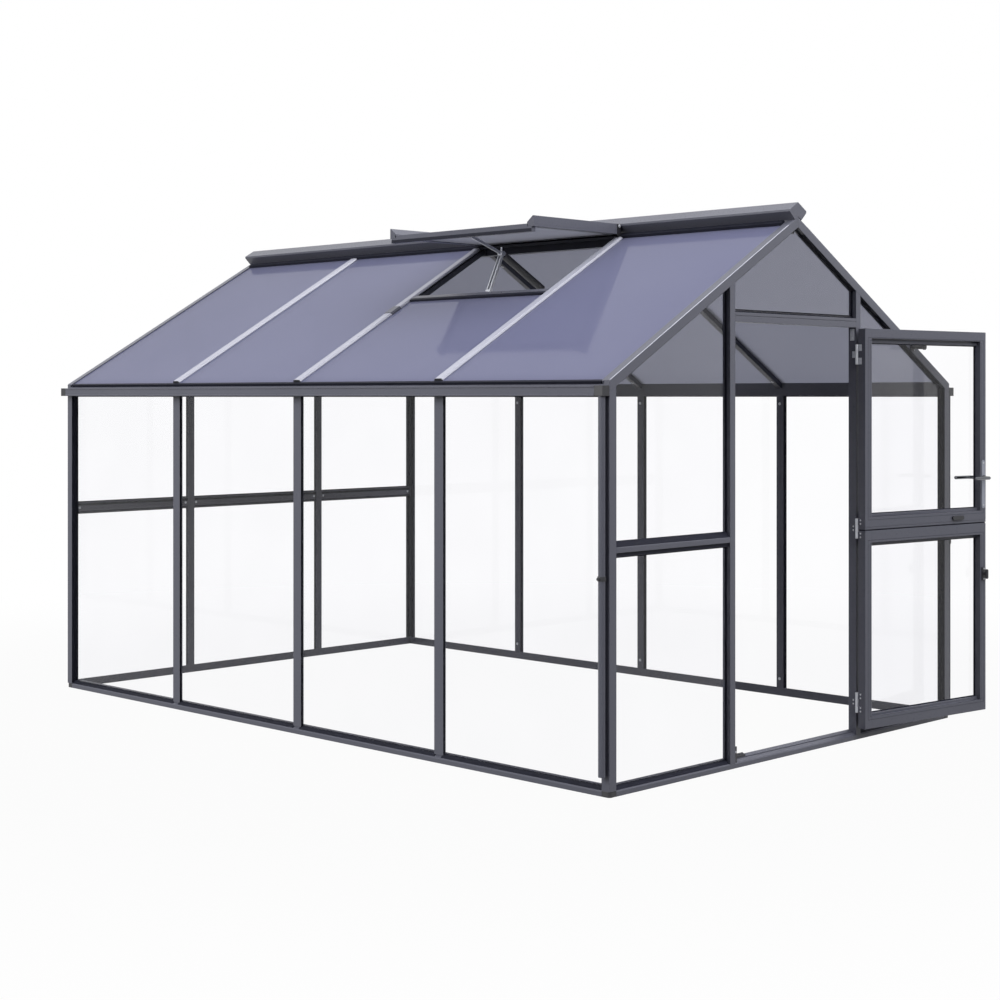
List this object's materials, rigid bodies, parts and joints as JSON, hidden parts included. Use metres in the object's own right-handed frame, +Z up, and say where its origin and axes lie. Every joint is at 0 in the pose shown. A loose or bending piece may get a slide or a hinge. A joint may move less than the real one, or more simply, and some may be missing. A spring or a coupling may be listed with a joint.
{
  "type": "glass greenhouse",
  "caption": "Free-standing glazed greenhouse with a dark aluminium frame, pitched translucent roof, raised roof vent, gutters with downpipes and a split door standing open.",
  "frame": {"origin": "on the ground in the middle of the doorway, on the underside of the front base rail, at the front bar line", "axes": "+X to the door's hinge side, +Y from the front gable to the back, +Z up"},
  "size_m": [2.5372, 3.9789, 2.3524],
  "materials": {
    "frame": "satin powder coat",
    "cap_strip": "satin",
    "wall_glass": "clear",
    "roof_sheet": "hazy translucent",
    "black_plastic": "moulded",
    "steel": "satin",
    "chrome": "polished"
  },
  "bodies": {
    "root": {"front_base_rail": "frame", "back_base_rail": "frame", "side_base_rails": "frame", "corner_posts": "frame", "door_jambs": "frame", "door_lintel": "frame", "wall_glazing_bars": "frame", "back_gable_bars": "frame", "gable_mid_rails": "frame", "left_gutter": "frame", "right_gutter": "frame", "downpipes": "frame", "left_rafters": "frame", "right_rafters": "frame", "ridge_beam": "frame", "roof_glazing_bars": "frame", "vent_sill": "frame", "vent_hinge_rail": "frame", "vent_side_rails": "frame", "vent_bottom_rail": "frame", "roof_bar_caps": "cap_strip", "left_wall_glass": "wall_glass", "right_wall_glass": "wall_glass", "front_gable_glass": "wall_glass", "back_gable_glass": "wall_glass", "left_roof_sheets": "roof_sheet", "right_roof_sheets": "roof_sheet", "vent_sheet": "roof_sheet", "base_corner_feet": "black_plastic", "gutter_ends": "black_plastic", "pipe_clips": "black_plastic", "door_catch": "black_plastic", "vent_opener_tube": "black_plastic", "jamb_hinges": "steel", "jamb_strikes": "steel", "vent_opener_arms": "steel"},
    "upper_leaf": {"upper_leaf_stiles": "frame", "upper_leaf_rails": "frame", "upper_leaf_glass": "wall_glass", "upper_leaf_hinges": "steel", "handle_plates": "steel", "leaf_bolt": "black_plastic"},
    "lower_leaf": {"lower_leaf_stiles": "frame", "lower_leaf_rails": "frame", "lower_leaf_glass": "wall_glass", "lower_leaf_hinges": "steel", "latch_knob": "black_plastic"},
    "lever": {"lever_handle": "chrome"}
  },
  "joints": [
    {"name": "upper_leaf_swing", "type": "hinge", "parent": "root", "child": "upper_leaf", "pos_m": [0.432, -0.032, 1.4], "axis": [0, 0, -1], "range_deg": [0, 172.5]},
    {"name": "lower_leaf_swing", "type": "hinge", "parent": "root", "child": "lower_leaf", "pos_m": [0.432, -0.032, 0.5], "axis": [0, 0, -1], "range_deg": [0, 172.5]},
    {"name": "lever_turn", "type": "hinge", "parent": "upper_leaf", "child": "lever", "pos_m": [1.24976, -0.1679, 1.142], "axis": [-0.1305, -0.9914, 0], "range_deg": [0, 40], "stiffness_Nm_per_rad": 1, "springref_deg": -17.19}
  ]
}
